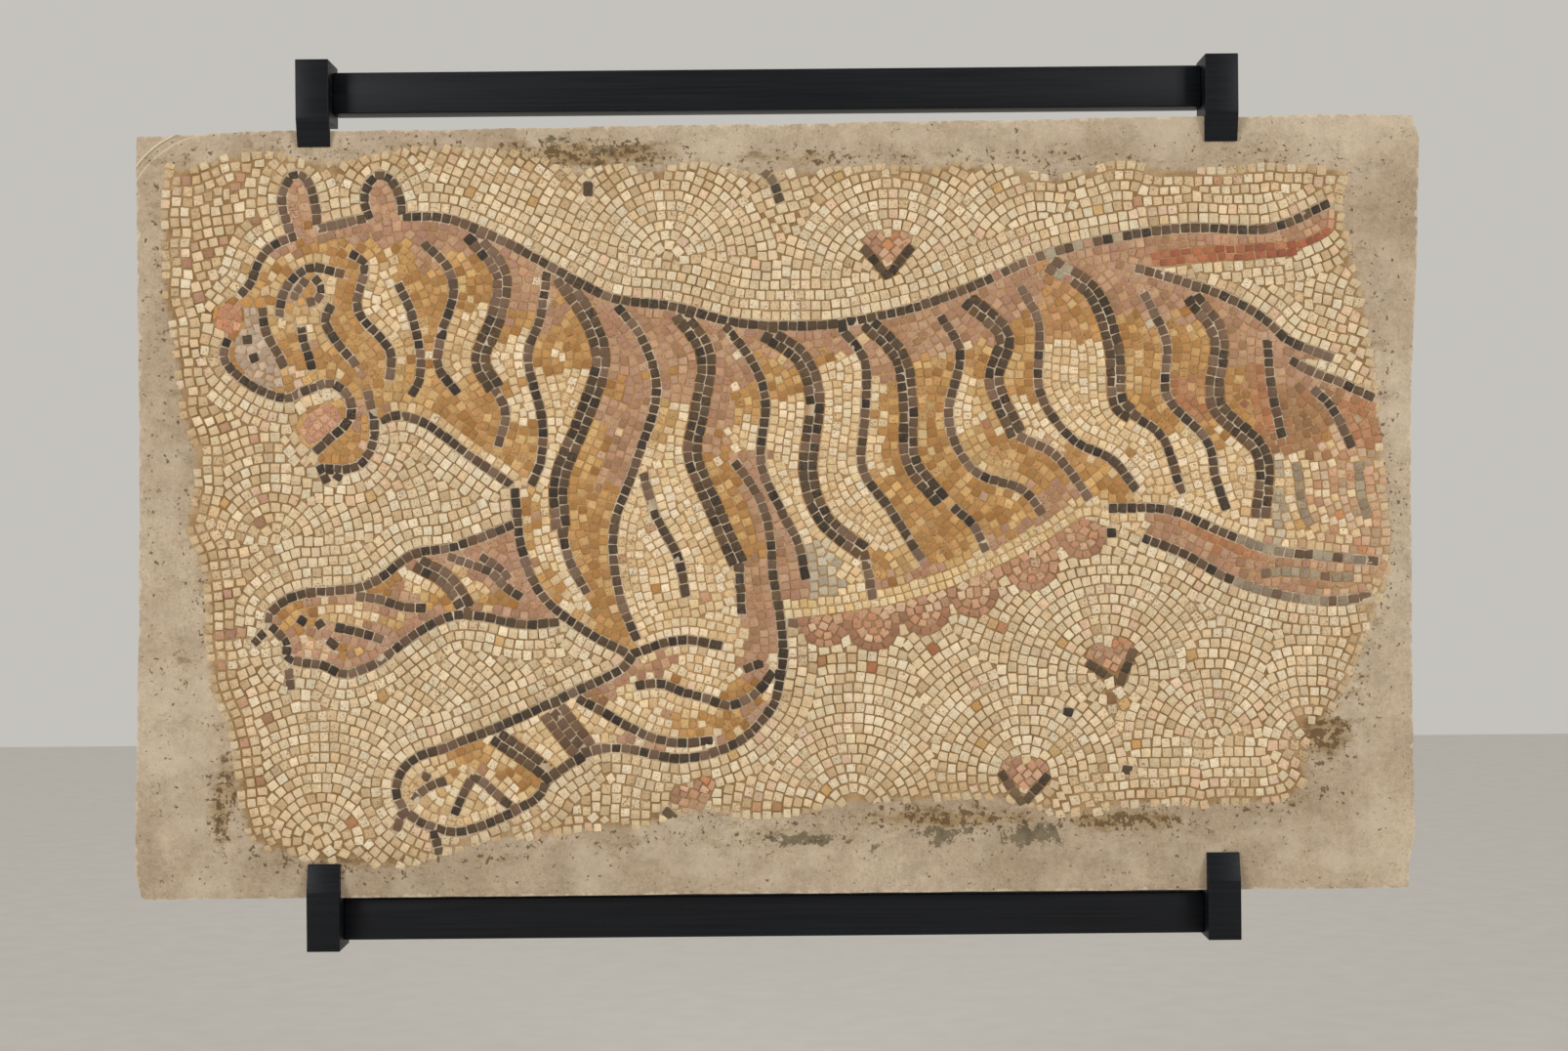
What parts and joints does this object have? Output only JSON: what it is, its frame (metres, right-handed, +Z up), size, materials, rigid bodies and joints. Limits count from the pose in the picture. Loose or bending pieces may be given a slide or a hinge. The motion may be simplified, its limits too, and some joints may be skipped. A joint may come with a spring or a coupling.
{
  "type": "wall-mounted mosaic panel",
  "caption": "Old floor mosaic of a leaping striped cat in a mortar slab, held on a wall by two black steel rails with end clips.",
  "frame": {"origin": "middle of the upper rail's back face, on the wall", "axes": "+X along the rails to the picture's right, +Y into the wall, +Z up; the picture faces -Y"},
  "size_m": [1.257, 0.052, 0.8655],
  "materials": {
    "mortar": "rough, dry lime mortar",
    "cream_stone": "worn limestone tesserae",
    "ochre_stone": "worn ochre and mauve limestone tesserae",
    "grey_stone": "worn grey limestone tesserae",
    "pink_stone": "worn pink limestone tesserae",
    "red_stone": "worn dark red limestone tesserae",
    "dark_stone": "worn brown-black stone tesserae",
    "black_paint": "satin black paint"
  },
  "bodies": {
    "root": {"mortar_slab": "mortar", "ground_tesserae": "cream_stone", "cat_tesserae": "ochre_stone", "tail_red_tesserae": "red_stone", "tongue_tesserae": "pink_stone", "nose_tesserae": "pink_stone", "muzzle_tesserae": "grey_stone", "belly_fringe_tesserae": "pink_stone", "rosebud_1_petals": "pink_stone", "rosebud_2_petals": "pink_stone", "rosebud_3_petals": "pink_stone", "rosebud_4_petals": "pink_stone", "dark_line_1_tesserae": "dark_stone", "dark_line_2_tesserae": "dark_stone", "dark_line_3_tesserae": "dark_stone", "dark_line_4_tesserae": "dark_stone", "dark_line_5_tesserae": "dark_stone", "dark_line_6_tesserae": "dark_stone", "dark_line_7_tesserae": "dark_stone", "dark_line_8_tesserae": "dark_stone", "dark_line_9_tesserae": "dark_stone", "dark_line_10_tesserae": "dark_stone", "dark_line_11_tesserae": "dark_stone", "dark_line_12_tesserae": "dark_stone", "dark_line_13_tesserae": "dark_stone", "dark_line_14_tesserae": "dark_stone", "dark_line_15_tesserae": "dark_stone", "dark_line_16_tesserae": "dark_stone", "dark_line_17_tesserae": "dark_stone", "dark_line_18_tesserae": "dark_stone", "dark_line_19_tesserae": "dark_stone", "dark_line_20_tesserae": "dark_stone", "dark_line_21_tesserae": "dark_stone", "dark_line_22_tesserae": "dark_stone", "rosebud_1_cup": "dark_stone", "rosebud_2_cup": "dark_stone", "rosebud_3_cup": "dark_stone", "upper_rail": "black_paint", "lower_rail": "black_paint", "upper_left_clip": "black_paint", "upper_right_clip": "black_paint", "lower_left_clip": "black_paint", "lower_right_clip": "black_paint"}
  },
  "joints": []
}
